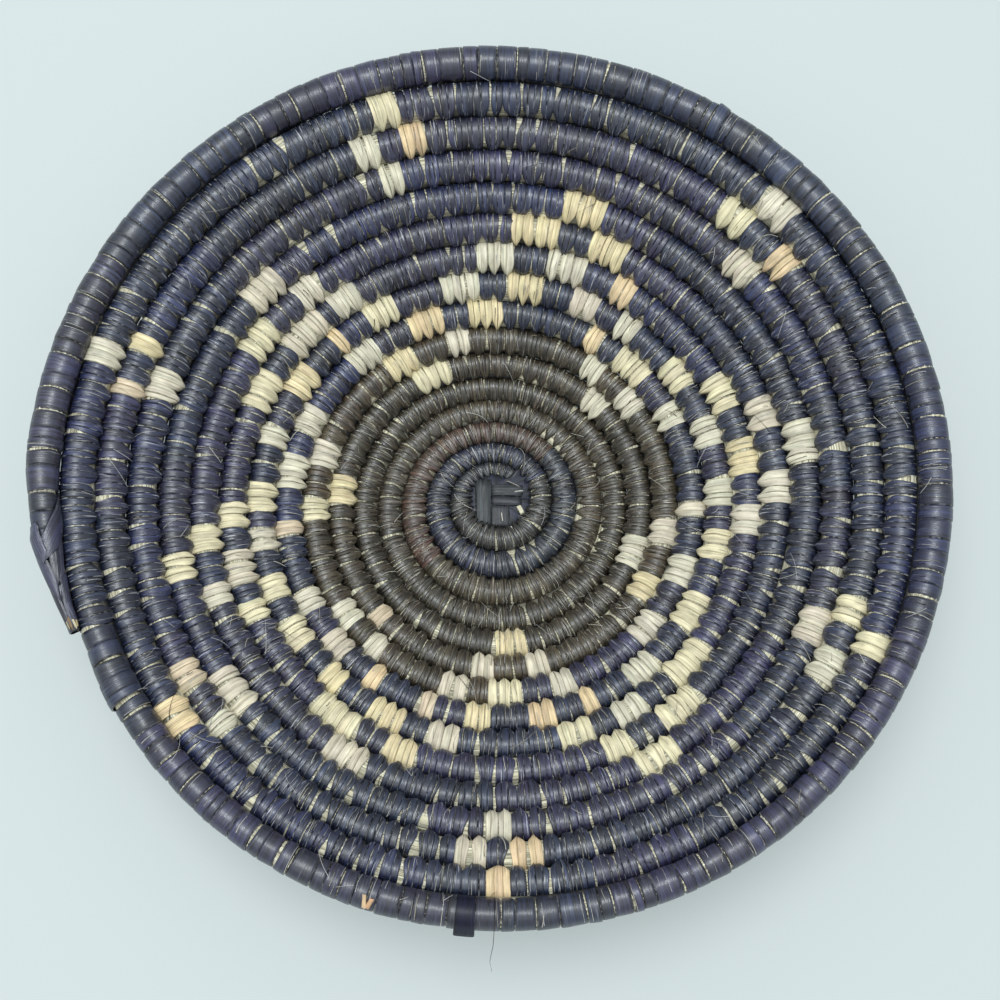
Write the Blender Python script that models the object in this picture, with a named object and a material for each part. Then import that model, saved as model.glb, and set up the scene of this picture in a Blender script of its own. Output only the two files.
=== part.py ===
"""Coiled raffia basket bowl: one grass bundle coiled from the middle of the base out to the rim.

Strips of dyed raffia are wrapped round the bundle and caught in the row below. The bowl is modelled
as the bundle, the lengths of wrapping along it, the crossed strips at the start, and the binding
over the tapered end at the rim. The origin is in the middle of the base, on the ground, and +Z is up.
"""
import math

import bmesh
import bpy
from mathutils import Vector

MM = 0.001

# The coil's route. A turn counts once round the bowl, and whole turns lie on +X.
FIRST_TURN = 0.15
LAST_TURN = 15.562
START_RADIUS = 9.0 * MM  # from the middle to the coil's middle at turn 0
START_PITCH = 7.1 * MM  # from one row's middle to the next
RIM_PITCH = 11.2 * MM
RIM_PITCH_TURN = 15.5
PITCH_GROWTH = 0.4  # under 1, the rows thicken quickly at first and then hardly at all

# The bowl's profile
FLAT_TURNS = 3.2
BEND_TURNS = 1.2
WALL_SLOPE = math.radians(27)
RIM_SLOPE = math.radians(32)

# A hand-made coil isn't quite centred on its rim.
START_DRIFT = Vector((-1.0 * MM, 2.5 * MM, 0))
WALL_DRIFT = Vector((0, -4.0 * MM, 0))

# The coil's layers
ROW_GAP = 0.6 * MM  # between one row and the next
BASE_CUT = 0.8 * MM  # how far the base's underside is pressed flat
WRAP_WALL = 1.1 * MM
BUNDLE_GAP = 0.4 * MM  # between the bundle and the wrapping round it
WRAP_END_GAP = 0.3 * MM  # between one length of wrapping and the next

# The coil is thin where it starts and where it ends.
START_TAPER_TURNS = 0.35
START_TAPER = 0.7
END_TAPER_TURNS = 0.06
END_TAPER = 0.42
BUNDLE_INSET_TURNS = 0.004

# Where one colour of raffia takes over from another
BROWN_TURN = 2 + 3 / 24
NAVY_TURN = 6 + 18 / 24

# The start, in the middle of the base
KNOT_GAP = 0.6 * MM
KNOT_HEIGHT = 5.2 * MM
KNOT_EDGE = 0.8 * MM
STRIP_GAP = 0.3 * MM
STRIP_THICKNESS = 0.5 * MM
STRIP_WIDTH = 5.5 * MM
LONG_STRIP_LENGTH = 14.0 * MM
CROSS_STRIP_LENGTH = 9.5 * MM
STRIP_EDGE = 0.15 * MM
LONG_STRIP_ANGLE = math.radians(-4)
LONG_STRIP_SHIFT = Vector((-2.0 * MM, -1.2 * MM, 0))  # from the middle of the knot
CROSS_STRIP_ANGLE = math.radians(86)
CROSS_STRIP_SHIFT = Vector((2.2 * MM, 1.2 * MM, 0))

# The binding over the coil's end, and two strips' ends turned out under the rim
BINDING_FIRST_TURN = 15.515
BINDING_TURNS = 0.05
BINDING_FROM = math.radians(-80)
BINDING_TO = math.radians(95)
BINDING_GAP = 0.4 * MM
BINDING_THICKNESS = 1.5 * MM
TAB_FIRST_TURN = 14.7335
TAB_TURNS = 0.0075
TAB_FROM = math.radians(-62)
TAB_TO = math.radians(8)
TAB_GAP = 0.35 * MM
TAB_THICKNESS = 0.6 * MM
SCRAP_FIRST_TURN = 14.702
SCRAP_TURNS = 0.0032
SCRAP_FROM = math.radians(-45)
SCRAP_TO = math.radians(12)
SCRAP_GAP = 0.35 * MM
SCRAP_THICKNESS = 0.6 * MM

# Facets
POINTS_PER_TURN = 24
POINTS_PER_START_TURN = 12
SIDES = 6
ROUTE_STEPS_PER_TURN = 200
SHELL_STEPS = 5
SHELL_SIDES = 6
KNOT_SIDES = 24

# Colours as a screen shows them, 0 to 255
NAVY = (58, 59, 84)
INDIGO = (56, 62, 86)
BROWN = (62, 54, 48)
NATURAL = (228, 206, 166)
STRAW = (186, 168, 118)


def pitch_at(turn):
    share = max(turn, 0) / RIM_PITCH_TURN
    return START_PITCH + (RIM_PITCH - START_PITCH) * share**PITCH_GROWTH


def slope_at(turn):
    bend = min(max((turn - FLAT_TURNS) / BEND_TURNS, 0), 1)
    wall_start = FLAT_TURNS + BEND_TURNS
    up_wall = min(max((turn - wall_start) / (RIM_PITCH_TURN - wall_start), 0), 1)
    return WALL_SLOPE * bend * bend * (3 - 2 * bend) + (RIM_SLOPE - WALL_SLOPE) * up_wall


def trace_route():
    """(radius, rise) at each small step of the coil, added up from its pitch and slope."""
    radius = START_RADIUS
    rise = 0.0
    route = [(radius, rise)]
    step = 1 / ROUTE_STEPS_PER_TURN
    for index in range(math.ceil((LAST_TURN + 1) * ROUTE_STEPS_PER_TURN)):
        middle = (index + 0.5) * step
        radius += pitch_at(middle) * math.cos(slope_at(middle)) * step
        rise += pitch_at(middle) * math.sin(slope_at(middle)) * step
        route.append((radius, rise))
    return route


ROUTE = trace_route()


def route_at(turn):
    place = max(turn, 0) * ROUTE_STEPS_PER_TURN
    index = min(int(place), len(ROUTE) - 2)
    share = place - index
    near, far = ROUTE[index], ROUTE[index + 1]
    return near[0] + (far[0] - near[0]) * share, near[1] + (far[1] - near[1]) * share


def taper_at(turn):
    """The coil's thickness as a share of its full thickness."""
    started = min(max((turn - FIRST_TURN) / START_TAPER_TURNS, 0), 1)
    ending = min(max((LAST_TURN - turn) / END_TAPER_TURNS, 0), 1)
    return (START_TAPER + (1 - START_TAPER) * started) * (END_TAPER + (1 - END_TAPER) * ending)


def drift_at(turn):
    out = min(max(turn / RIM_PITCH_TURN, 0), 1)
    return START_DRIFT * (1 - out) ** 2 + WALL_DRIFT * (4 * out * (1 - out))


def outward_at(turn):
    angle = math.tau * turn
    return Vector((math.cos(angle), math.sin(angle), 0))


def full_coil_radius(turn):
    """Half of the coil's thickness, which is less where the drift brings the rows together."""
    spread = (drift_at(turn + 0.5) - drift_at(turn - 0.5)).dot(outward_at(turn))
    return (pitch_at(turn) + spread - ROW_GAP) / 2


def coil_radius(turn):
    return full_coil_radius(turn) * taper_at(turn)


def wall_axes(turn):
    """(along the wall towards the next row, square to the wall towards the inside)"""
    slope = slope_at(turn)
    outward = outward_at(turn)
    up = Vector((0, 0, 1))
    along = outward * math.cos(slope) + up * math.sin(slope)
    inward = up * math.cos(slope) - outward * math.sin(slope)
    return along, inward


def coil_centre(turn):
    """The coil's middle. A thinner stretch stays as near to the row beside it as the rest does."""
    radius, rise = route_at(turn)
    base = min(turn, FLAT_TURNS)
    height = full_coil_radius(base) - BASE_CUT + rise
    centre = outward_at(turn) * radius + drift_at(turn) + Vector((0, 0, height))
    thinner = full_coil_radius(turn) - coil_radius(turn)
    side = 1 if turn < FLAT_TURNS else -1
    return centre + wall_axes(turn)[0] * thinner * side


def section_point(turn, angle, radius, floor):
    """A point round the coil's middle, no lower than the floor of its layer."""
    along, inward = wall_axes(turn)
    point = coil_centre(turn) + (along * math.cos(angle) + inward * math.sin(angle)) * radius
    point.z = max(point.z, floor)
    return point


def turns_between(first, last):
    """Where the coil's points lie between two turns, with the two turns themselves."""
    places = [first]
    count = round(POINTS_PER_TURN * (math.ceil(last) + 1))
    for index in range(count):
        turn = index / POINTS_PER_TURN
        coarse = index % (POINTS_PER_TURN // POINTS_PER_START_TURN) == 0
        if first + 1e-6 < turn < last - 1e-6 and (turn > BROWN_TURN or coarse):
            places.append(turn)
    places.append(last)
    return places


def end_gap_at(turn):
    """Half the gap between two lengths of wrapping, in turns."""
    return WRAP_END_GAP / 2 / (math.tau * route_at(turn)[0])


def wrap_spans():
    """(name, colour, first turn, last turn) of each length of wrapping, one turn long at most."""
    spans = []
    stretches = (
        ("indigo_raffia_wrap", INDIGO, FIRST_TURN, BROWN_TURN),
        ("brown_raffia_wrap", BROWN, BROWN_TURN, NAVY_TURN),
        ("navy_raffia_wrap", NAVY, NAVY_TURN, LAST_TURN),
    )
    for name, colour, first, last in stretches:
        whole = math.ceil(last - first - 1e-6)
        for row in range(whole):
            # The first length of the start is the short one, so that every join lies on a point.
            if first == FIRST_TURN:
                begin = max(last - (whole - row), first)
                end = last - (whole - row - 1)
            else:
                begin = first + row
                end = min(first + row + 1, last)
            spans.append((f"{name}_{row + 1}", colour, begin, end))
    return spans


def wrap_ends(begin, end):
    """A wrap's own ends, short of its neighbours by half a gap each."""
    own_begin = begin if begin == FIRST_TURN else begin + end_gap_at(begin)
    own_end = end if end == LAST_TURN else end - end_gap_at(end)
    return own_begin, own_end


def linear(colour):
    """A screen colour as the renderer's linear values."""
    shares = [value / 255 for value in colour]
    return [s / 12.92 if s <= 0.04045 else ((s + 0.055) / 1.055) ** 2.4 for s in shares]


def material(name, colour, roughness):
    found = bpy.data.materials.new(name)
    found.use_nodes = True
    shader = found.node_tree.nodes["Principled BSDF"]
    shader.inputs["Base Color"].default_value = (*linear(colour), 1)
    shader.inputs["Roughness"].default_value = roughness
    shader.inputs["Metallic"].default_value = 0
    return found


def add_object(name, bm, colour, roughness):
    """A named object with its own material, from a mesh that is then closed up and facing out."""
    bmesh.ops.recalc_face_normals(bm, faces=bm.faces)
    mesh = bpy.data.meshes.new(name)
    bm.to_mesh(mesh)
    bm.free()
    mesh.materials.append(material(name, colour, roughness))
    obj = bpy.data.objects.new(name, mesh)
    bpy.context.scene.collection.objects.link(obj)
    mesh.shade_smooth()
    mesh.set_sharp_from_angle(angle=math.radians(65))
    return obj


def ring_of(bm, turn, radius, floor):
    points = (section_point(turn, math.tau * k / SIDES, radius, floor) for k in range(SIDES))
    return [bm.verts.new(point) for point in points]


def join_rings(bm, near, far):
    count = len(near)
    for k in range(count):
        after = (k + 1) % count
        bm.faces.new((near[k], near[after], far[after], far[k]))


def add_wrap(name, colour, begin, end):
    """A length of wrapping: a tube round the bundle, open at both ends."""
    bm = bmesh.new()
    outer = []
    inner = []
    for turn in turns_between(*wrap_ends(begin, end)):
        outer.append(ring_of(bm, turn, coil_radius(turn), 0))
        inner.append(ring_of(bm, turn, coil_radius(turn) - WRAP_WALL, WRAP_WALL))
    for rings in (outer, inner):
        for near, far in zip(rings, rings[1:]):
            join_rings(bm, near, far)
    join_rings(bm, outer[0], inner[0])
    join_rings(bm, outer[-1], inner[-1])
    add_object(name, bm, colour, 0.5)


def bundle_turns():
    """The bundle's points are those of the wraps round it, so that both bend at the same places."""
    places = set()
    for _, _, begin, end in wrap_spans():
        places.update(turns_between(*wrap_ends(begin, end)))
    ends = (FIRST_TURN + BUNDLE_INSET_TURNS, LAST_TURN - BUNDLE_INSET_TURNS / 4)
    inside = [place for place in places if ends[0] < place < ends[1]]
    return [ends[0], *sorted(inside), ends[1]]


def add_bundle():
    """The grass bundle inside the wrapping: one unbroken length from the start to the rim."""
    bm = bmesh.new()
    layer = WRAP_WALL + BUNDLE_GAP
    rings = [ring_of(bm, turn, coil_radius(turn) - layer, layer) for turn in bundle_turns()]
    for near, far in zip(rings, rings[1:]):
        join_rings(bm, near, far)
    bm.faces.new(rings[0])
    bm.faces.new(rings[-1])
    add_object("grass_bundle_coil", bm, STRAW, 0.8)


def inner_edge(angle):
    """How far the hole in the middle of the coil reaches from its own middle, at an angle."""
    reach = []
    for whole in (0, 1, 2):
        turn = whole + angle / math.tau
        if turn >= FIRST_TURN - 1 / POINTS_PER_START_TURN:
            turn = max(turn, FIRST_TURN)
            flat = coil_centre(turn) - drift_at(FIRST_TURN)
            reach.append(math.hypot(flat.x, flat.y) - coil_radius(turn))
    return min(reach)


def add_knot():
    """The packed start of the bundle, which fills the hole in the middle of the coil."""
    bm = bmesh.new()
    rings = []
    # The hole is shaped by the coil's flat facets, which come this much nearer than its points.
    facet = math.cos(math.pi / POINTS_PER_START_TURN)
    outline = (
        (0, KNOT_EDGE),
        (KNOT_EDGE, 0),
        (KNOT_HEIGHT - KNOT_EDGE, 0),
        (KNOT_HEIGHT, KNOT_EDGE),
    )
    for height, inset in outline:
        ring = []
        for k in range(KNOT_SIDES):
            angle = math.tau * k / KNOT_SIDES
            reach = inner_edge(angle) * facet - KNOT_GAP - inset
            place = drift_at(FIRST_TURN) + Vector((math.cos(angle), math.sin(angle), 0)) * reach
            ring.append(bm.verts.new((place.x, place.y, height)))
        rings.append(ring)
    for near, far in zip(rings, rings[1:]):
        join_rings(bm, near, far)
    bm.faces.new(rings[0])
    bm.faces.new(rings[-1])
    add_object("start_knot", bm, INDIGO, 0.6)


def add_strip(name, length, width, layer, angle, shift):
    """A flat strip of raffia that crosses the start knot, in its own layer."""
    bm = bmesh.new()
    bmesh.ops.create_cube(bm, size=1)
    bmesh.ops.scale(bm, vec=(width, length, STRIP_THICKNESS), verts=bm.verts)
    bmesh.ops.bevel(bm, geom=bm.edges, offset=STRIP_EDGE, segments=1, affect="EDGES")
    obj = add_object(name, bm, INDIGO, 0.45)
    height = KNOT_HEIGHT + STRIP_GAP * (layer + 1) + STRIP_THICKNESS * (layer + 0.5)
    obj.location = drift_at(FIRST_TURN) + shift + Vector((0, 0, height))
    obj.rotation_euler.z = angle


def add_strips():
    add_strip("start_strip_cross", CROSS_STRIP_LENGTH, STRIP_WIDTH, 0, CROSS_STRIP_ANGLE, CROSS_STRIP_SHIFT)
    add_strip("start_strip_long", LONG_STRIP_LENGTH, STRIP_WIDTH, 1, LONG_STRIP_ANGLE, LONG_STRIP_SHIFT)


def point_over_wrap(turn, angle, lift):
    """A point over the wrapping, which runs straight from one of its rings to the next."""
    before = math.floor(turn * POINTS_PER_TURN) / POINTS_PER_TURN
    after = min(before + 1 / POINTS_PER_TURN, LAST_TURN)
    near = section_point(before, angle, coil_radius(before) + lift, 0)
    far = section_point(after, angle, coil_radius(after) + lift, 0)
    return near.lerp(far, (turn - before) / (after - before))


def add_shell(name, colour, along, around, gap, thickness):
    """A strip bound over part of the coil's outside, square to it at both ends."""
    bm = bmesh.new()
    rings = []
    angles = [around[0] + (around[1] - around[0]) * k / SHELL_SIDES for k in range(SHELL_SIDES + 1)]
    for step in range(SHELL_STEPS + 1):
        turn = along[0] + along[1] * step / SHELL_STEPS
        below = [point_over_wrap(turn, angle, gap) for angle in angles]
        above = [point_over_wrap(turn, angle, gap + thickness) for angle in reversed(angles)]
        rings.append([bm.verts.new(point) for point in below + above])
    for near, far in zip(rings, rings[1:]):
        join_rings(bm, near, far)
    for end in (rings[0], rings[-1]):
        bm.faces.new(end)
    add_object(name, bm, colour, 0.5)


def least_row_gap():
    """The least gap between two points of neighbouring rows, in millimetres."""
    least = math.inf
    places = [FIRST_TURN + index / 48 for index in range(int((LAST_TURN - FIRST_TURN - 1) * 48))]
    for turn in places:
        between = (coil_centre(turn + 1) - coil_centre(turn)).length
        least = min(least, between - coil_radius(turn) - coil_radius(turn + 1))
    return least / MM


def build():
    for obj in list(bpy.data.objects):
        bpy.data.objects.remove(obj)
    add_bundle()
    for span in wrap_spans():
        add_wrap(*span)
    add_knot()
    add_strips()
    add_shell(
        "rim_end_binding",
        NAVY,
        (BINDING_FIRST_TURN, BINDING_TURNS),
        (BINDING_FROM, BINDING_TO),
        BINDING_GAP,
        BINDING_THICKNESS,
    )
    add_shell(
        "rim_strip_tab",
        NAVY,
        (TAB_FIRST_TURN, TAB_TURNS),
        (TAB_FROM, TAB_TO),
        TAB_GAP,
        TAB_THICKNESS,
    )
    add_shell(
        "rim_natural_tab",
        NATURAL,
        (SCRAP_FIRST_TURN, SCRAP_TURNS),
        (SCRAP_FROM, SCRAP_TO),
        SCRAP_GAP,
        SCRAP_THICKNESS,
    )
    print(f"least gap between the coil's rows: {least_row_gap():.2f} mm")


build()
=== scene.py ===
"""Coiled raffia basket bowl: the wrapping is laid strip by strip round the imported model's coil."""

import math

import bpy
import numpy as np
from mathutils import Matrix, Vector


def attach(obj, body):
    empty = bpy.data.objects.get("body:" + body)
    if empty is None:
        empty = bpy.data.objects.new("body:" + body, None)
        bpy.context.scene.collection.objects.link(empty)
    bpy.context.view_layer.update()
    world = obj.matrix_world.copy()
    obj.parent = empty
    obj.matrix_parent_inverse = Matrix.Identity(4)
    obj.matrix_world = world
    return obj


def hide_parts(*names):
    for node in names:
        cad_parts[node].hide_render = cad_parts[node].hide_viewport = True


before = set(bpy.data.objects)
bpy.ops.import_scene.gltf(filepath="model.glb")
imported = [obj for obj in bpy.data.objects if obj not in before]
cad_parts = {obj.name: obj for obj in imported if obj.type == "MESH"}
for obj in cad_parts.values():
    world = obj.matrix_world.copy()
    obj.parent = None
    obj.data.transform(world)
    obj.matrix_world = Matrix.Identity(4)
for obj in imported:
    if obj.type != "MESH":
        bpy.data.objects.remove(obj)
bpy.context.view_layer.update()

MM = 0.001
SEED = 11
rng = np.random.default_rng(SEED)

# The coil's route, with the same values as the model. A turn counts once round the bowl.
FIRST_TURN = 0.15
LAST_TURN = 15.562
START_RADIUS = 9.0 * MM
START_PITCH = 7.1 * MM
RIM_PITCH = 11.2 * MM
RIM_PITCH_TURN = 15.5
PITCH_GROWTH = 0.4
FLAT_TURNS = 3.2
BEND_TURNS = 1.2
WALL_SLOPE = math.radians(27)
RIM_SLOPE = math.radians(32)
START_DRIFT = np.array((-1.0 * MM, 2.5 * MM, 0))
WALL_DRIFT = np.array((0, -4.0 * MM, 0))
ROW_GAP = 0.6 * MM
BASE_CUT = 0.8 * MM
START_TAPER_TURNS = 0.35
START_TAPER = 0.7
END_TAPER_TURNS = 0.06
END_TAPER = 0.42
RIM_ROW_TURN = LAST_TURN - 1
PLAIT_FIRST_TURN = 15.512
PLAIT_LAST_TURN = 15.5655
END_THINNING = 1.6 * MM
END_THINNING_DELAY = 0.01
END_THINNING_TURNS = 0.04
ROUTE_STEPS_PER_TURN = 200

# The dyes along it
GREY_END = 0.95
BROWN_TURN = 2 + 3 / 24
RED_BROWN_END = 2.62
NAVY_TURN = 6 + 18 / 24
DYED_STRETCHES = (
    ("indigo_raffia", FIRST_TURN, BROWN_TURN),
    ("brown_raffia", BROWN_TURN, NAVY_TURN),
    ("navy_raffia", NAVY_TURN, LAST_TURN),
)
ROUNDING = 1e-6

# The camera, from a fit to the rows' edges in the photograph
IMAGE_SIDE = 1000
SPIRAL_MIDDLE = (501, 511)
FOCAL_PIXELS = 1400
SENSOR = 36
CLIP_START = 0.01
CLIP_END = 20
CAMERA_PLACE = Vector((-8.4, -119.2, 505.7)) * MM
CAMERA_TILT = 0.2362
CAMERA_YAW = 0.0181
AIM_ROUNDS = 6

# Blocks of natural raffia, read from the photograph: row, then where each block starts and ends in
# degrees round the spiral's middle.
CREAM_BLOCKS = {
    4: ((266.9, 280.7), (336.5, 349.9)),
    5: ((44.5, 54.2), (109.6, 124), (167.3, 177.4), (259.2, 267.6), (279.5, 287.3), (327.3, 337),
        (347.9, 357.4)),
    6: ((36.2, 44.8), (53.4, 61), (100.4, 107.7), (118.5, 129.1), (157.8, 166.2), (175.6, 182.5),
        (209.3, 217.5), (223.9, 229.7), (250.8, 259.2), (266.1, 276.7), (286.2, 293.6), (316.8, 326.6),
        (337.6, 346.7), (358.5, 362.9)),
    7: ((26.2, 33), (42.7, 53.6), (89.5, 99.3), (126.9, 135.5), (150.4, 158.4), (164.4, 173.9),
        (201.6, 207.9), (215.2, 222.7), (259.6, 267), (307.2, 316.3), (327.3, 337.6), (347.3, 355.3)),
    8: ((1.7, 8.6), (17.4, 24.9), (33.9, 42.2), (52.8, 58.5), (64.5, 71.7), (79.2, 88.4), (95.6, 105),
        (117, 124.9), (142.9, 150.6), (159.3, 164.2), (173, 180), (184.2, 189.2), (195.3, 201.5),
        (206.6, 214.4), (221.7, 227.6), (236.3, 245.1), (251.7, 259.2), (284.5, 293.1), (299.2, 306.9),
        (315.5, 326.9), (354.7, 361.7)),
    9: ((8.6, 16.9), (24.3, 32.7), (70.8, 79.4), (87, 95.5), (123, 129.7), (132.6, 142.3), (148.9, 157.3),
        (178, 183.4), (188.3, 195.7), (199.5, 204.1), (225.7, 236.3), (243.7, 250.8), (293.1, 299.4),
        (307.4, 317.2)),
    10: ((1.7, 8.6), (17.2, 23.9), (63.9, 71.4), (78.3, 87.8), (128.6, 133.7), (141, 148), (182.5, 187.8),
         (194, 198.4), (233, 241.8), (298.2, 307.1)),
    11: ((9.2, 17.2), (70.8, 78.4), (133.2, 140.3), (187.2, 192.4), (209.5, 217.9), (266.9, 271.8),
         (336.9, 343)),
    12: ((42.8, 48.4), (106.2, 110), (156.9, 161.9), (215.4, 219), (262.3, 267.5), (332.1, 337.8),
         (342.1, 346.5)),
    13: ((49.1, 54.2), (108.5, 112.5), (153.6, 156.1), (338.4, 341.9)),
    14: ((45.1, 50.2), (104.2, 108.1), (156.4, 159.8)),
}
PEACH_BLOCKS = {
    5: ((218.2, 224),),
    7: ((59.1, 64.3), (106.8, 116.5), (182.5, 186.3), (230.5, 234.9), (246.6, 251.2), (277.9, 285),
        (293.1, 297.3)),
    8: ((132, 134.9),),
    9: ((58.5, 63.7),),
    12: ((205, 209.8), (271.6, 277)),
    13: ((39.8, 43.6), (101.3, 105), (160.5, 162.7), (209.3, 215), (267.8, 271.5)),
}
STAR_END_TURN = 11.6  # blocks from here on belong to the diamonds

# Colours as a screen shows them, 0 to 255
NAVY_TINTS = ((39, 45, 77), (36, 44, 68), (46, 46, 75), (43, 44, 66), (33, 40, 62), (38, 46, 68))
INDIGO_TINTS = ((43, 49, 62), (41, 46, 66), (44, 49, 74))
GREY_TINTS = ((46, 47, 50), (49, 47, 44), (43, 46, 54))
RED_BROWN_TINTS = ((86, 60, 50), (78, 58, 48), (70, 58, 47))
BROWN_TINTS = ((69, 60, 45), (62, 54, 41), (73, 61, 45), (56, 49, 36))
CREAM_TINTS = ((222, 212, 177), (213, 205, 184), (225, 209, 167), (211, 201, 179), (215, 209, 186))
PEACH_TINTS = ((226, 200, 160), (215, 197, 169), (230, 206, 164))
STRAW_TINTS = ((226, 220, 192), (209, 202, 174), (235, 230, 205))
# Painted shade in the seams between rows, where the dyed strips also cover the stems
SEAM_SHADE_TINT = (30, 31, 38)
FIBRE_TINTS = ((240, 236, 222), (232, 230, 224), (214, 214, 216), (196, 190, 176), (36, 34, 38))

# Raffia materials: tint of the worn places, how strongly it shows, roughness, refraction and contrast
RAFFIA = {
    "indigo_raffia_strips": ((204, 206, 204), 0.85, 0.34, 1.85, 0.7),
    "brown_raffia_strips": ((204, 198, 182), 0.85, 0.34, 1.85, 0.7),
    "navy_raffia_strips": ((198, 200, 206), 0.85, 0.32, 1.85, 0.7),
    "natural_raffia_strips": ((150, 132, 92), 0.4, 0.5, 1.45, 0.22),
    "indigo_raffia_start": ((160, 162, 162), 0.8, 0.42, 1.5, 0.85),
    "navy_raffia_strip_end": ((104, 108, 134), 0.6, 0.38, 1.45, 0.6),
}

# A noise has its changes per millimetre across a strip, along it and from strip to strip, and its detail. A
# range has two values, and what these become.
RIDGE_NOISE = ((1.7, 0.05, 1.0), 4.0)
FINE_NOISE = ((8.0, 0.2, 3.0), 2.0)
BLOTCH_NOISE = ((0.5, 0.2, 2.0), 2.0)
STREAK_NOISE = ((2.4, 0.12, 7.0), 2.0)
WORN_NOISE = ((0.35, 0.3, 5.0), 2.0)
LINE_NOISE = ((1.8, 0.08, 1.0), 3.0)
JOINT_NOISE = ((0.8, 0.5, 5.0), 1.0)
MIDDLE_VALUES = (0.3, 0.7)
RIDGE_VALUES = (0.34, 0.66)
# Where the painted shade at a strip's edges starts and is full
PAINTED_EDGE_SHADE_VALUES = (0.4, 0.85)
STREAK_VALUES = (0.65, 0.75)
WORN_VALUES = (0.5, 0.56)
BLOTCH_SHADES = (0.82, 1.2)
WORN_EDGE_RANGE = (0.6, 0.9, 0.0, 1.0)
LINE_RANGE = (0.38, 0.58, 0.3, 1.15)
JOINT_RANGE = (0.35, 0.45, 0.75, 1.0)
STEM_ROUGHNESS = (0.55, 0.8)
ROUGHNESS_BELOW = 0.1
ROUGHNESS_ABOVE = 0.16
FINE_RELIEF_SHARE = 0.22
STRIP_RELIEF = (0.9, 0.22 * MM)  # strength and height
STEM_RELIEF = (0.8, 0.2 * MM)

# The studio: lights by name, place, size and power
LIGHTS = (("softbox_overhead", (-0.15, 0.0, 1.5), 3.0, 13), ("window", (-0.12, 0.1, 1.15), 0.5, 5.6))
DAYLIGHT = (0.93, 0.985, 1.0)  # the lights' colour, as linear values
WORLD_STRENGTH = 0.53
WORLD_SEEN_COLOUR = (218, 229, 230)
FLOOR_COLOUR = (213, 220, 219)
FLOOR_SEEN_COLOUR = (211, 224, 226)
FLOOR_SEEN_SHARE = 0.36  # of the floor that the camera sees as a plain backdrop, which lightens the shadow
FLOOR_ROUGHNESS = 0.9
FLOOR_SPECULAR = 0.1
FLOOR_RADIUS = 15
FLOOR_SIDES = 128
FLOOR_DROP = 0.02 * MM

# Zones round the coil: the middle and how far it reaches to each side, in degrees. 0 faces the next row, 90
# the inside of the bowl and 180 the row before.
PULL_ZONE = (172, 70)
WEDGE_ZONE = (28, 82)
TIP_ZONE = (158, 52)
PINCH_ZONE = (165, 75)
SWELL_ZONE = (80, 150)
FILL_ZONE = (6, 46)
STEP_ZONE = (40, 150)
OUTER_GROOVE = (-12, 54)
INNER_GROOVE = (187, 59)
THINNED_ZONE = (-10, 110)
DIP_ZONE = (140, 30)

# The strips lie in lobes, a few strips that draw together at the row before. Sizes are in millimetres, and
# tables give them by turn.
LOBE_LENGTH = ((0.2, 3.8), (2, 4.6), (5, 5.4), (9, 6.0), (14.4, 6.6))
LEAF_LENGTH = 60  # of the coil that one strip of raffia covers
LEAF_SHARES = (0.4, 1.6)
FRONT = (0.55, 0.95)  # the part of a turn at the front of the bowl
WIDE_WEDGE_TURN = 9.5
NARROWEST_WEDGE = 0.1
PULLS = (0.08, 0.6)
REACHES = (0.5, 1.3)
COUNT_SPREAD = 0.4
LOBE_LEAN = 0.35
STRIP_LEAN = 0.15
STRIP_OFFSET = 0.14
STRIP_SHINGLE = 0.18
STRIP_UNEVENNESS = 0.35
STRIP_OVERLAP = 0.05
PARTED_GAPS = (0.12, 0.3)
SEEDS = (0, 100)

# The same by kind of wrapping: a block of natural raffia, the row of the rim, and the other dyed rows
NATURAL, RIM, DYED = range(3)
LOBE_SHARES = (0.8, 1, 1)
LOBE_UNEVENNESS = (0.12, 0.4, 0.25)
STRIP_WIDTHS = (((0, 2.3),), ((0, 5.5),), ((0.2, 1.3), (5, 1.5), (9, 1.9), (14.4, 2.3)))
PULL_SHARES = (1.05, 0.1, 1)
REACH_SHARES = ((1.35, 0.8), (0.2, 0.2), (1, 1))  # elsewhere, and at the front
WEDGE_CHANCES = ((0.22, 0.36), (0.03, 0.03), (0.22, 0.36))  # the same
WIDEST_WEDGES = ((0.35, 0.55), (0.25, 0.25), (0.35, 0.55))  # up to WIDE_WEDGE_TURN, and from there on
PARTED_CHANCES = (0.08, 0.05, 0.08)
SHADES = ((0.92, 1.08), (0.5, 1.22), (0.5, 1.22))
TINT_SPREADS = (0.015, 0.05, 0.05)
STRIP_FIELDS = ("begin end middle half pull_before pull_after wedge_before wedge_after reach lean offset "
                "shingle seed natural rim red green blue").split()

# A strip's section: shares of its width, heights in millimetres and shares of an edge, and its angles
ACROSS = np.array((0, 0.04, 0.22, 0.78, 0.96, 1))
CROWN = np.array((-0.5, -0.02, 0.04, 0.04, -0.02, -0.5))
EDGE = np.array((1, 0.8, 0, 0, 0.8, 1))
ROUND = np.radians((-90, -66, -44, -22, 0, 20, 38, 55, 70, 85, 100, 114, 127, 139, 150, 161, 173, 187, 205,
                    235))
STRIP_LIFT = 0.12
NATURAL_CROWN_SHARE = 0.42
TIP_REACH = 1.15  # how far a lobe's tip reaches over the row before it
NATURAL_TIP_POWER = 1.5
DYED_TIP_POWER = 2.8
LOBE_PINCH = 0.27
PINCH_POWER = 4
LOBE_SWELL = 0.08
SWELL_POWER = 2.5
RIM_FORM_SHARE = 0.3
NATURAL_FILL = 0.75
STRIP_WAVES = ((0.05, 3, 1), (0.04, 5, 3))  # height, waves round the coil, and the seed's factor
# Painted shade: how much darker the strips are coloured down in the grooves between the rows
GROOVE_SHADE = 0.06  # how much of its colour a dyed strip keeps down in the grooves
NATURAL_GROOVE_SHADE = 0.62
RIM_WEAR = 0.25
OTHER_WEAR = 0.4

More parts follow.
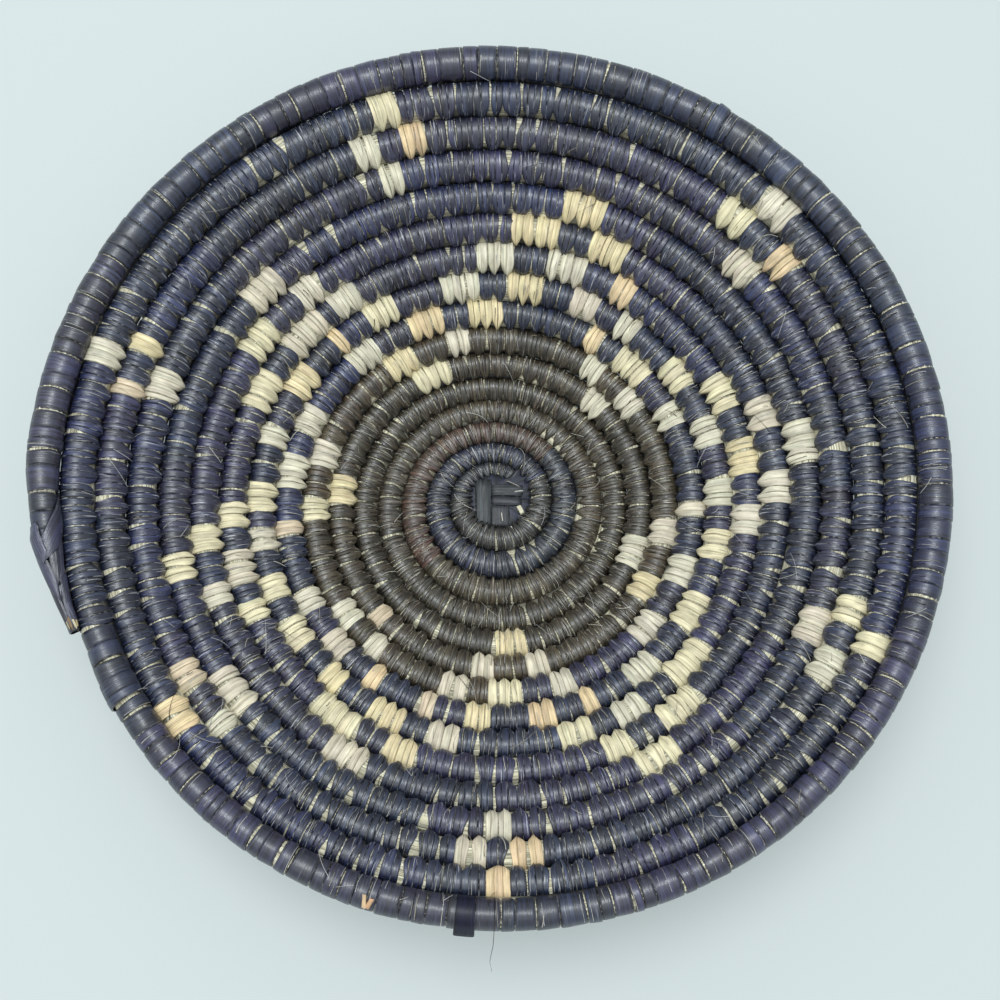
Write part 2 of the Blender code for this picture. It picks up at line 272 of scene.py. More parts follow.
# Where the rim's wrapping steps down: row and degrees in the photograph, the step and how far before it the
# swelling starts in millimetres, and how much of a turn is bare after it
RIM_STEPS = ((14, 206.6, 1.7, 22, 0.0005), (15, 61.9, 0.9, 7, 0))

# The bundle's stems, in millimetres. A wave is given by 1 / math.tau of its length.
STEM_COUNT = 16
STEM_RINGS_PER_TURN = 90
STEM_RIDGES = (0.12, -0.16)
STEM_SEED_STEP = 3.7
BUNDLE_DEPTH = 0.34
BUNDLE_FLOOR = 0.45
BUNDLE_TWIST = 0.25
BUNDLE_TWIST_WAVE = 31
BUNDLE_SWELL = 0.06
BUNDLE_SWELL_WAVE = 9
SEAM_FILL = 1.0
SEAM_REACH = 26
SEAM_DIP = 0.7
SEAM_DIP_WAVE = 23
BEND_FILL = 0.6
BEND_SHIFT = 8
BEND_REACH = 14
BARE_WAVES = ((7, 0), (4.3, 1), (17, 0))
BARE_FROM = 1.1
BARE_RISE = 0.4
# How far round the seam the stems get painted shade, in degrees
SHADED_SEAM_REACH = 66
RIM_SHADED_SEAM_REACH = 55

# The section of a flat ribbon, like that of a strip
RIBBON_THICKNESS = 0.3
RIBBON_ACROSS = np.array((0, 0.03, 0.08, 0.36, 0.64, 0.92, 0.97, 1))
RIBBON_CROWN = np.array((-0.4, -0.1, 0, 0.03, 0.03, 0, -0.1, -0.4))
RIBBON_EDGE = np.array((1, 1, 0, 0, 0, 0, 1, 1))
RIBBON_RINGS = 24

# The start: flat strips laid over the hole in the middle, from (x, y) to (x, y) in millimetres, with their
# width, height and tint
START_STRIPS = (
    ((0.9, 0.5), (0.9, -9.6), 7.2, 4.6, (43, 45, 50)),
    ((-3.5, 1.2), (9.8, 0.9), 3.6, 4.9, (38, 40, 46)),
    ((-3.5, 5.2), (10.2, 5.0), 4.6, 4.9, (47, 50, 55)),
)
START_LONG_STRIP = ((-5.2, 10.2), (-5.2, -9.9), 5.9, 5.4, (49, 54, 57))
# Scraps of natural raffia caught under and over them, in the same way
START_SCRAPS = (
    ((7.6, -0.6), (9.3, -3.8), 1.7, 5.0, (226, 221, 192)),
    ((5.0, -8.4), (6.2, -10.2), 1.0, 5.1, (214, 214, 206)),
    ((1.4, -3.2), (1.9, -6.8), 0.5, 5.1, (200, 196, 184)),
    ((6.0, 4.4), (9.6, 4.9), 0.6, 5.3, (206, 206, 200)),
    ((3.2, 8.6), (8.4, 6.2), 0.5, 5.6, (150, 146, 140)),
)
START_DROP = 2.6  # how far a strip's ends are tucked down
START_DROP_SHARE = 0.3  # the same as the most of its length
START_DROP_POWER = 7
START_CAMBER = 0.35
START_TWIST = 0.2

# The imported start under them, in millimetres
PAD_RINGS = 12
PAD_SIDES = 96
PAD_HEIGHT = 4.3
PAD_DROP = 1.6
PAD_UNDER_ROW = 2.6
PAD_HOLE = 0.02
PAD_BASE = ((0.95, 0.3), (PAD_HOLE, 0.1))  # share of the reach, and height
PAD_WAVE = 0.12
PAD_SHADE = 0.6
PAD_STRAND = 6
PAD_START_TURN = FIRST_TURN + 0.02

# The plait over the coil's end. Each strip runs straight over the opened-out surface, from and to a place in
# millimetres along the coil and degrees round it, with its width and height in millimetres and its tint.
PLAIT_STRIPS = (
    ((2, -75), (44, 4), 6.5, 0.4, (36, 39, 58)),
    ((35, 92), (46, 76), 4.6, 0.4, (40, 42, 62)),
    ((35, 100), (45.5, 130), 3.4, 0.75, (58, 60, 84)),
    ((21, 144), (46, 84), 5.6, 0.6, (50, 52, 76)),
    ((27, 18), (46, 66), 5.2, 0.75, (28, 30, 48)),
    ((10, 140), (31, 90), 4.8, 0.85, (56, 57, 78)),
    ((10, 99), (31, 80), 4.0, 1.05, (30, 32, 50)),
    ((13, -8), (36.5, 68), 6.0, 1.15, (50, 51, 76)),
    ((2, 178), (23.2, 39), 6.8, 1.35, (36, 38, 64)),
    ((10.4, 8), (23.6, 42), 6.0, 1.55, (58, 60, 84)),
)
FRAY_STRIPS = (
    ((42, 54), (46.4, 62), 1.3, 0.75, (196, 178, 134)),
    ((41, 74), (46.8, 78), 1.5, 0.85, (128, 106, 76)),
    ((42.5, 96), (46.6, 104), 1.3, 0.9, (212, 204, 170)),
    ((43, 120), (46, 112), 0.9, 1.1, (186, 170, 130)),
)
PLAIT_POINT = 0.96  # how much of its width a strip loses towards its end
PLAIT_POINT_START = 0.74
PLAIT_TUCK = 0.8  # how far the start of a strip dips under the others, in millimetres
PLAIT_TUCK_END = 0.3

# Strips' ends that stick out under the rim: the turn of their middle, width and lean along the coil in
# millimetres, where they start, leave the coil to run straight and end, in degrees, and their tint
# The tab's tint is darker than the rim's navy: painted shade, as the tab hangs away from the light
TAB = (14.7373, 6.3, 0, 165, 10, -31, (11, 14, 38))
SCRAPS = (
    (14.7027, 1.3, 0.9, 54, 45, 14, (214, 184, 146)),
    (14.7047, 1.5, -0.9, 48, 42, 14, (196, 158, 122)),
    (14.7038, 1.4, 0, 32, 28, 12, (120, 88, 62)),
)
LOOSE_END_LIFT = 0.55
LOOSE_END_LENGTH = 10.0

# Stray fibres. Those that follow a strip have ranges of their length and of their middle's degrees round the
# coil, the spread of how far they turn from the strip and of their bow, and how far they stand off.
FIBRE_SIDES = 4
FIBRE_RINGS = 14
FIBRE_COUNT = 1350
FIBRE_THICKNESSES = (0.07, 0.15)
FIBRE_TAPER = 0.6
FIBRE_LIFT = 0.4
FIBRE_TURNS = (0.4, 14.9, 0.7)  # the first, how many more, and the power that puts more of them further out
FIBRE_UP = (0.0, 0.3, 1.0)
STRIP_FIBRE = ((1.5, 7), (35, 125), 0.09, 0.15, 0.3)
RIM_FIBRE = ((3.5, 11), (50, 110), 0.04, 0.12, 0)
RIM_FIBRE_COUNT = 90
RIM_FIBRE_TURNS = (0.03, 0.94)
WILD_SHARE = 0.18  # of the fibres, those that don't follow a strip
WILD_LENGTHS = (2.5, 9, 2)  # the least, how much more, and the power that keeps most of them short
WILD_MIDDLES = (50, 130)
WILD_HEADINGS = (0.3, 2.8)
WILD_BOW = 0.16
WILD_STAND_OFF = 1.6
HAIR_TURN = 14.7473
HAIR_OVER_RIM = (125, 5, 7)  # from and to which degrees round the rim, and in how many points
HAIR_LIFT = 0.6
HAIR_END = ((-2.7, -152, 52), (-3.1, -154, 49), (-3.5, -156.3, 45), (-3.6, -157.6, 41), (-3.4, -158.8, 37),
            (-3.1, -160.2, 33), (-2.9, -161.5, 30))


def smooth(share):
    share = np.clip(share, 0, 1)
    return share * share * (3 - 2 * share)


def bump(angle, middle, reach):
    """1 at a zone's middle, and 0 from its reach on. All in degrees, and the angle in radians."""
    off = np.abs((np.degrees(angle) - middle + 180) % 360 - 180)
    return smooth(1 - off / reach)


def from_table(turn, table):
    return np.interp(turn, *zip(*table))


def stacked(*values):
    return np.stack(np.broadcast_arrays(*values), -1)


def either_way(most):
    return rng.uniform(-most, most)


def pitch_at(turn):
    share = np.maximum(turn, 0) / RIM_PITCH_TURN
    return START_PITCH + (RIM_PITCH - START_PITCH) * share**PITCH_GROWTH


def slope_at(turn):
    wall_start = FLAT_TURNS + BEND_TURNS
    up_wall = np.clip((turn - wall_start) / (RIM_PITCH_TURN - wall_start), 0, 1)
    return WALL_SLOPE * smooth((turn - FLAT_TURNS) / BEND_TURNS) + (RIM_SLOPE - WALL_SLOPE) * up_wall


def trace_route():
    """(turns, radii, rises) at each small step of the coil, added up from its pitch and slope."""
    step = 1 / ROUTE_STEPS_PER_TURN
    count = math.ceil((LAST_TURN + 1) * ROUTE_STEPS_PER_TURN)
    middles = (np.arange(count) + 0.5) * step
    radii = START_RADIUS + np.cumsum(pitch_at(middles) * np.cos(slope_at(middles))) * step
    rises = np.cumsum(pitch_at(middles) * np.sin(slope_at(middles))) * step
    return np.arange(count + 1) * step, np.r_[START_RADIUS, radii], np.r_[0, rises]


ROUTE_TURNS, ROUTE_RADII, ROUTE_RISES = trace_route()


def radius_at(turn):
    return np.interp(turn, ROUTE_TURNS, ROUTE_RADII)


def turn_length(turn):
    """Millimetres along the coil in one turn."""
    return math.tau * radius_at(turn) / MM


def taper_at(turn):
    """The coil's thickness, as a share of its full one."""
    started = np.clip((turn - FIRST_TURN) / START_TAPER_TURNS, 0, 1)
    ending = np.clip((LAST_TURN - turn) / END_TAPER_TURNS, 0, 1)
    return (START_TAPER + (1 - START_TAPER) * started) * (END_TAPER + (1 - END_TAPER) * ending)


def drift_at(turn):
    """How far the middle of the spiral has moved from the bowl's axis."""
    out = np.clip(turn / RIM_PITCH_TURN, 0, 1)[..., None]
    return START_DRIFT * (1 - out) ** 2 + WALL_DRIFT * (4 * out * (1 - out))


def outward_at(turn):
    angle = math.tau * turn
    return stacked(np.cos(angle), np.sin(angle), 0.0)


def full_coil_radius(turn):
    """Half the coil's thickness, before it tapers at its ends."""
    spread = ((drift_at(turn + 0.5) - drift_at(turn - 0.5)) * outward_at(turn)).sum(-1)
    return (pitch_at(turn) + spread - ROW_GAP) / 2


def section_at(turn):
    """The coil's middle, the two axes of its section, and its radius, at an array of turns."""
    turn = np.asarray(turn, float)
    slope = slope_at(turn)[..., None]
    outward = outward_at(turn)
    up = np.array((0, 0, 1.0))
    along = outward * np.cos(slope) + up * np.sin(slope)
    inward = up * np.cos(slope) - outward * np.sin(slope)
    full = full_coil_radius(turn)
    radius = full * taper_at(turn)
    height = full_coil_radius(np.minimum(turn, FLAT_TURNS)) - BASE_CUT
    height = height + np.interp(turn, ROUTE_TURNS, ROUTE_RISES)
    side = np.where(turn < FLAT_TURNS, 1, -1)
    centre = outward * radius_at(turn)[..., None] + drift_at(turn) + up * height[..., None]
    return centre + along * ((full - radius) * side)[..., None], along, inward, radius


def surface_point(turn, angle, lift, floor=0.0):
    """Points round the coil, at a height above its surface. None of them lies below the floor."""
    centre, along, inward, radius = section_at(turn)
    out = along * np.cos(angle)[..., None] + inward * np.sin(angle)[..., None]
    # The plaited end gets thinner on its outer side.
    thinned = smooth((turn - PLAIT_FIRST_TURN - END_THINNING_DELAY) / END_THINNING_TURNS)
    lift = lift - END_THINNING * thinned * bump(angle, *THINNED_ZONE)
    points = centre + out * (radius + lift)[..., None]
    points[..., 2] = np.maximum(points[..., 2], floor)
    return points


def camera_axes():
    """The camera's right, up and forward."""
    right = Vector((1, 0, 0))
    up = Vector((0, math.cos(CAMERA_TILT), math.sin(CAMERA_TILT)))
    forward = Vector((0, math.sin(CAMERA_TILT), -math.cos(CAMERA_TILT)))
    turned = forward * math.cos(CAMERA_YAW) + right * math.sin(CAMERA_YAW)
    return right * math.cos(CAMERA_YAW) - forward * math.sin(CAMERA_YAW), up, turned


def seen_angle(turn):
    """Where the coil's inside at a turn shows round the spiral's middle in the photograph, in degrees."""
    right, up, forward = camera_axes()
    point = surface_point(np.array([turn]), np.array([math.pi / 2]), np.zeros(1))[0]
    ray = Vector(point) - CAMERA_PLACE
    across = IMAGE_SIDE / 2 + FOCAL_PIXELS * ray.dot(right) / ray.dot(forward)
    down = IMAGE_SIDE / 2 - FOCAL_PIXELS * ray.dot(up) / ray.dot(forward)
    return math.degrees(math.atan2(SPIRAL_MIDDLE[1] - down, across - SPIRAL_MIDDLE[0]))


def turn_seen_at(row, degrees):
    """The turn of a row that shows at an angle in the photograph."""
    turn = row + degrees / 360
    for _ in range(AIM_ROUNDS):
        off = (degrees - seen_angle(turn) + 180) % 360 - 180
        turn += off / 360
    return turn


def natural_spans():
    """(first turn, last turn, tints) of each block of natural raffia, along the coil."""
    spans = []
    for blocks, tints in ((CREAM_BLOCKS, CREAM_TINTS), (PEACH_BLOCKS, PEACH_TINTS)):
        for row, places in blocks.items():
            for first, last in places:
                spans.append((turn_seen_at(row, first), turn_seen_at(row, last), tints))
    return sorted(spans, key=lambda span: span[0])


def all_spans():
    """(first turn, last turn, tints) along the whole coil, with None for the tints of dyed raffia."""
    spans = []
    place = FIRST_TURN
    for first, last, tints in natural_spans():
        spans.append((place, first, None))
        spans.append((first, last, tints))
        place = last
    spans.append((place, LAST_TURN, None))
    bare_after = {turn_seen_at(row, degrees): bare for row, degrees, _, _, bare in RIM_STEPS}
    cuts = sorted((BROWN_TURN, RED_BROWN_END, NAVY_TURN, RIM_ROW_TURN, *bare_after))
    split = []
    for first, last, tints in spans:
        edges = [first, *(cut for cut in cuts if first < cut < last), last]
        split += [(a + bare_after.get(a, 0), b, tints) for a, b in zip(edges, edges[1:]) if b > a]
    return split


def divided(first, last, count, unevenness):
    """The edges of count unequal stretches between two turns."""
    shares = 1 + unevenness * rng.uniform(-1, 1, count)
    return first + (last - first) * np.r_[0, np.cumsum(shares) / shares.sum()]


def dyed_tints(turn):
    if turn < GREY_END:
        return GREY_TINTS
    if turn < BROWN_TURN:
        return INDIGO_TINTS
    if turn < RED_BROWN_END:
        return RED_BROWN_TINTS
    return BROWN_TINTS if turn < NAVY_TURN else NAVY_TINTS


def linear(colours):
    """Screen colours from 0 to 255 as the renderer's linear values, by the sRGB standard."""
    shares = np.asarray(colours, float) / 255
    return np.where(shares <= 0.04045, shares / 12.92, ((shares + 0.055) / 1.055) ** 2.4)


def lobe_strips(begin, end, place, kind, tint):
    """The strips of one lobe between two turns, as rows for strip_list."""
    per_turn = turn_length(place)
    wanted = (end - begin) * per_turn / from_table(place, STRIP_WIDTHS[kind])
    count = max(1, round(wanted + either_way(COUNT_SPREAD)))
    pulls = rng.uniform(*PULLS, 2) * PULL_SHARES[kind]
    front = FRONT[0] < place % 1 < FRONT[1]
    widest = WIDEST_WEDGES[kind][place > WIDE_WEDGE_TURN]
    wedges = np.where(rng.random(2) < WEDGE_CHANCES[kind][front], rng.uniform(NARROWEST_WEDGE, widest, 2), 0)
    reach = rng.uniform(*REACHES) * REACH_SHARES[kind][front]
    lean = either_way(LOBE_LEAN)
    edges = divided(begin, end, count, STRIP_UNEVENNESS)
    rows = []
    for a, b in zip(edges, edges[1:]):
        gap = rng.uniform(*PARTED_GAPS) if rng.random() < PARTED_CHANCES[kind] else -STRIP_OVERLAP
        shade = rng.uniform(*SHADES[kind])
        colour = linear(tint) * shade * rng.uniform(1 - TINT_SPREADS[kind], 1 + TINT_SPREADS[kind], 3)
        rows.append((
            a + gap / per_turn / 2, b - gap / per_turn / 2, (begin + end) / 2, (end - begin) / 2,
            *pulls, *wedges, reach, (lean + either_way(STRIP_LEAN)) / per_turn,
            either_way(STRIP_OFFSET), either_way(STRIP_SHINGLE), rng.uniform(*SEEDS),
            kind == NATURAL, kind == RIM, *colour,
        ))
    return rows


def strip_list():
    """One row of numbers for each strip of raffia, in the order of STRIP_FIELDS."""
    strips = []
    leaf_end = 0.0
    leaf_tint = None
    palette = None
    for first, last, tints in all_spans():
        middle = (first + last) / 2
        kind = NATURAL if tints else RIM if middle > RIM_ROW_TURN else DYED
        per_turn = turn_length(middle)
        lobe = from_table(middle, LOBE_LENGTH) * LOBE_SHARES[kind]
        count = max(1, round((last - first) * per_turn / lobe))
        lobes = divided(first, last, count, LOBE_UNEVENNESS[kind])
        if tints:
            leaf_tint = tints[rng.integers(len(tints))]
        elif dyed_tints(first) is not palette:
            leaf_tint = None
        for begin, end in zip(lobes, lobes[1:]):
            if not tints and (leaf_tint is None or begin > leaf_end):
                palette = dyed_tints(begin)
                leaf_tint = palette[rng.integers(len(palette))]
                leaf_end = begin + LEAF_LENGTH * rng.uniform(*LEAF_SHARES) / per_turn
            strips += lobe_strips(begin, end, middle, kind, leaf_tint)
        if tints:
            leaf_tint = None
    return np.array(strips)


def field_of(strips, name):
    return strips[:, STRIP_FIELDS.index(name)]


def step_lift(turn, middle):
    """How many millimetres the rim's wrapping is swollen before its steps, in the lobe round a middle."""
    lift = np.zeros_like(turn)
    for row, degrees, height, length, _ in RIM_STEPS:
        place = turn_seen_at(row, degrees)
        share = 1 - (place - turn) * turn_length(place) / length
        lift += np.where(middle <= place, height * smooth(share), 0)
    return lift


def strip_points(strips):
    """(points, strand coordinates) of the strips, as arrays of strips by round by across."""
    begin, end, middle, half, *pulls_and_wedges, reach, lean, offset, shingle, seed, natural, rim = (
        field_of(strips, name)[:, None, None] for name in STRIP_FIELDS[:-3])
    pull_before, pull_after, wedge_before, wedge_after = pulls_and_wedges
    natural = natural > 0
    angle = ROUND[None, :, None]
    across = ACROSS[None, None, :]
    flat_turn = begin + (end - begin) * across
    from_middle = (flat_turn - middle) / half
    before = from_middle < 0
    pull = np.where(before, pull_before, pull_after) * bump(angle, *PULL_ZONE)
    wedge = np.where(before, wedge_before, wedge_after) * bump(angle, *WEDGE_ZONE)
    turn = middle + (flat_turn - middle) * (1 - pull - wedge)
    turn = np.minimum(turn + lean * np.sin(angle), LAST_TURN)
    off_middle = np.minimum(np.abs(from_middle), 1)
    narrowing = 1 - off_middle ** np.where(natural, NATURAL_TIP_POWER, DYED_TIP_POWER)
    form_share = np.where(rim, RIM_FORM_SHARE, 1)
    crown = CROWN[None, None, :] * np.where(natural, NATURAL_CROWN_SHARE, 1)
    tip = TIP_REACH * reach * bump(angle, *TIP_ZONE) * narrowing
    pinch = LOBE_PINCH * bump(angle, *PINCH_ZONE) * off_middle**PINCH_POWER * form_share
    swell = LOBE_SWELL * (1 - off_middle**SWELL_POWER) * bump(angle, *SWELL_ZONE) * form_share
    # Natural raffia shows up to the next row, where it fills the gaps between that row's lobes.
    fill = NATURAL_FILL * bump(angle, *FILL_ZONE) * natural
    waves = sum(height * np.sin(angle * count + seed * times) for height, count, times in STRIP_WAVES)
    tilt = shingle * (across - 0.5) * 2
    step = step_lift(flat_turn, middle) * bump(angle, *STEP_ZONE)
    lift = crown + tip + swell + fill - pinch + waves + offset + STRIP_LIFT + tilt + step
    points = surface_point(turn, angle + np.zeros_like(turn), lift * MM)
    width = (end - begin) * turn_length(middle)
    thickness = full_coil_radius(middle) / MM
    strands = stacked(across * width, angle * thickness, seed)
    return points, strands


def grid_quads(count, rings, columns, closed):
    """Quads of grids of rings by columns of points, whose last ring may join the first."""
    ring = np.arange(rings if closed else rings - 1)[:, None]
    column = np.arange(columns - 1)[None, :]
    here = ring * columns + column
    after = (ring + 1) % rings * columns + column
    return repeated(stacked(here, here + 1, after + 1, after).reshape(-1, 4), count, rings * columns)


def tube_quads(rings, columns):
    """Quads of a grid of rings by columns of points, whose last column joins the first."""
    ring = np.arange(rings - 1)[:, None] * columns
    column = np.arange(columns)[None, :]
    after = (column + 1) % columns
    next_ring = ring + columns
    return stacked(ring + column, ring + after, next_ring + after, next_ring + column).reshape(-1, 4)


def repeated(quads, count, points):
    """The quads of count meshes alike, of so many points each."""
    return (quads[None] + np.arange(count)[:, None, None] * points).reshape(-1, 4)


def new_object(name, data):
    made = bpy.data.objects.new(name, data)
    bpy.context.scene.collection.objects.link(made)
    return made


def add_piece(name, points, quads, tints, edges, strands, material, nodes=(), slot=None, wear=OTHER_WEAR):
    """A piece from a mesh, with the values at its points that its material reads."""
    colours = np.empty((*points.shape[:-1], 4))
    colours[..., :3] = tints
    colours[..., 3] = edges
    mesh = bpy.data.meshes.new(name)
    mesh.from_pydata(points.reshape(-1, 3).tolist(), [], quads.tolist())
    kept = (
        ("tint", "FLOAT_COLOR", "color", colours),
        ("strand", "FLOAT_VECTOR", "vector", strands),
        ("wear", "FLOAT", "value", np.broadcast_to(wear, colours.shape[:-1])),
    )
    for title, kind, key, values in kept:
        attribute = mesh.attributes.new(title, kind, "POINT")
        attribute.data.foreach_set(key, values.astype(np.float32).ravel())
    mesh.shade_smooth()
    mesh.materials.append(material)
    piece = new_object(name, mesh)
    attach(piece, "root")
    if nodes:
        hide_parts(*nodes)


def add_strips(name, strips, material, nodes=(), slot=None):
    """One piece from strips of strip_list, with painted shade down in the grooves between the rows."""
    points, strands = strip_points(strips)
    rim = field_of(strips, "rim")[:, None] > 0
    natural = field_of(strips, "natural")[:, None] > 0
    # Painted shade: the colour is darkened towards the grooves on both sides, less so on natural raffia
    outer_groove = bump(ROUND, *OUTER_GROOVE)[None, :] * ~rim
    groove = np.maximum(bump(ROUND, *INNER_GROOVE)[None, :], outer_groove)
    keep = 1 - (1 - np.where(natural, NATURAL_GROOVE_SHADE, GROOVE_SHADE)) * groove
    tints = strips[:, None, None, -3:] * keep[:, :, None, None]
    quads = grid_quads(len(strips), len(ROUND), len(ACROSS), True)
    wear = np.where(rim, RIM_WEAR, 1)[:, None]
    add_piece(name, points, quads, tints, EDGE, strands, material, nodes, slot, wear)


def wrap_nodes():
    """(node, slot, first turn, last turn) of each length of dyed wrapping in the model."""
    found = []
    for slot, first, last in DYED_STRETCHES:
        whole = math.ceil(last - first - ROUNDING)
        for row in range(whole):
            if first == FIRST_TURN:
                span = (max(last - (whole - row), first), last - (whole - row - 1))
            else:
                span = (first + row, min(first + row + 1, last))
            found.append((f"{slot}_wrap_{row + 1}", slot, *span))
    return found


class NodeTree:
    """Makes the nodes of a material or a world, and links them in one call each."""

    def __init__(self, owner, shader="Principled BSDF"):
        owner.use_nodes = True
        self.owner = owner
        self.tree = owner.node_tree
        self.shader = self.tree.nodes[shader]

    def add(self, kind, inputs=(), **settings):
        node = self.tree.nodes.new(kind)
        for key, value in settings.items():
            setattr(node, key, value)
        for key, value in dict(inputs).items():
            self.feed(node.inputs[key], value)
        return node

    def feed(self, socket, value):
        if isinstance(value, bpy.types.NodeSocket):
            self.tree.links.new(value, socket)
        else:
            socket.default_value = value

    def maths(self, operation, *values):
        return self.add("ShaderNodeMath", enumerate(values), operation=operation).outputs[0]

    def attribute(self, name):
        return self.add("ShaderNodeAttribute", attribute_name=name).outputs

    def noise(self, strand, scale, detail):
        scaled = self.add("ShaderNodeVectorMath", {0: strand, 1: scale}, operation="MULTIPLY")
        found = self.add("ShaderNodeTexNoise", {"Vector": scaled.outputs[0], "Scale": 1.0, "Detail": detail})
        return found.outputs["Fac"]

    def ranged(self, value, low, high, to_low, to_high):
        return self.add("ShaderNodeMapRange", enumerate((value, low, high, to_low, to_high))).outputs[0]

    def shaded(self, colour, shade):
        return self.add("ShaderNodeVectorMath", {0: colour, 3: shade}, operation="SCALE").outputs[0]

    def mix(self, share, first, second):
        return self.add("ShaderNodeMix", {0: share, 6: first, 7: second}, data_type="RGBA").outputs[2]

    def shade(self, **inputs):
        """Feeds the shader's inputs, named with _ for a space."""
        for name, value in inputs.items():
            self.feed(self.shader.inputs[name.replace("_", " ")], value)

    def bumped(self, strength, distance, height):
        inputs = {"Strength": strength, "Distance": distance, "Height": height}
        return self.add("ShaderNodeBump", inputs).outputs[0]

    def show_to_camera(self, share, shader, output):
        """Mixes another shader in by a share, for the camera alone."""
        seen = self.maths("MULTIPLY", self.add("ShaderNodeLightPath").outputs["Is Camera Ray"], share)
        both = self.add("ShaderNodeMixShader", {0: seen, 1: self.shader.outputs[0], 2: shader.outputs[0]})
        self.feed(self.tree.nodes[output].inputs["Surface"], both.outputs[0])


def raffia_material(name):
    """Flat strips of leaf: fine ridges along each strand, painted shade along their edges, paler streaks and
    wear.
    """
    pale, streaks, roughness, index, contrast = RAFFIA[name]
    tree = NodeTree(bpy.data.materials.new(name))
    wear = tree.attribute("wear")["Fac"]
    strand = tree.attribute("strand")["Vector"]
    tint = tree.attribute("tint")
    ridges = tree.noise(strand, *RIDGE_NOISE)
    fine = tree.noise(strand, *FINE_NOISE)
    blotches = tree.noise(strand, *BLOTCH_NOISE)
    streak = tree.noise(strand, *STREAK_NOISE)
    worn = tree.noise(strand, *WORN_NOISE)
    ridge_shade = tree.ranged(ridges, *RIDGE_VALUES, 1 - contrast, 1 + contrast)
    blotch_shade = tree.ranged(blotches, *MIDDLE_VALUES, *BLOTCH_SHADES)
    # Painted shade: each strip's colour darkens towards its edges, where the strips meet
    painted_edge_shade = tree.ranged(tint["Alpha"], *PAINTED_EDGE_SHADE_VALUES, 1.0, 1 - contrast)
    shade = tree.maths("MULTIPLY", tree.maths("MULTIPLY", ridge_shade, blotch_shade), painted_edge_shade)
    worn_edge = tree.maths("MULTIPLY", tree.ranged(tint["Alpha"], *WORN_EDGE_RANGE),
                           tree.ranged(worn, *WORN_VALUES, 0.0, streaks))
    paler = tree.maths("MAXIMUM", tree.ranged(streak, *STREAK_VALUES, 0.0, streaks), worn_edge)
    paler = tree.maths("MULTIPLY", paler, wear)
    colour = tree.mix(paler, tree.shaded(tint["Color"], shade), (*linear(pale), 1))
    shine = tree.ranged(fine, *MIDDLE_VALUES, roughness - ROUGHNESS_BELOW, roughness + ROUGHNESS_ABOVE)
    height = tree.maths("ADD", ridges, tree.maths("MULTIPLY", fine, FINE_RELIEF_SHARE))
    tree.shade(Base_Color=colour, Roughness=shine, IOR=index, Normal=tree.bumped(*STRIP_RELIEF, height))
    return tree.owner


def grass_material():
    """Dried stems: fine lines along each stem, with darker joints here and there."""
    tree = NodeTree(bpy.data.materials.new("dried_grass_stems"))
    strand = tree.attribute("strand")["Vector"]
    lines = tree.noise(strand, *LINE_NOISE)
    joints = tree.noise(strand, *JOINT_NOISE)
    shade = tree.maths("MULTIPLY", tree.ranged(lines, *LINE_RANGE), tree.ranged(joints, *JOINT_RANGE))
    colour = tree.shaded(tree.attribute("tint")["Color"], shade)
    shine = tree.ranged(lines, *MIDDLE_VALUES, *STEM_ROUGHNESS)
    tree.shade(Base_Color=colour, Roughness=shine, Normal=tree.bumped(*STEM_RELIEF, lines))
    return tree.owner


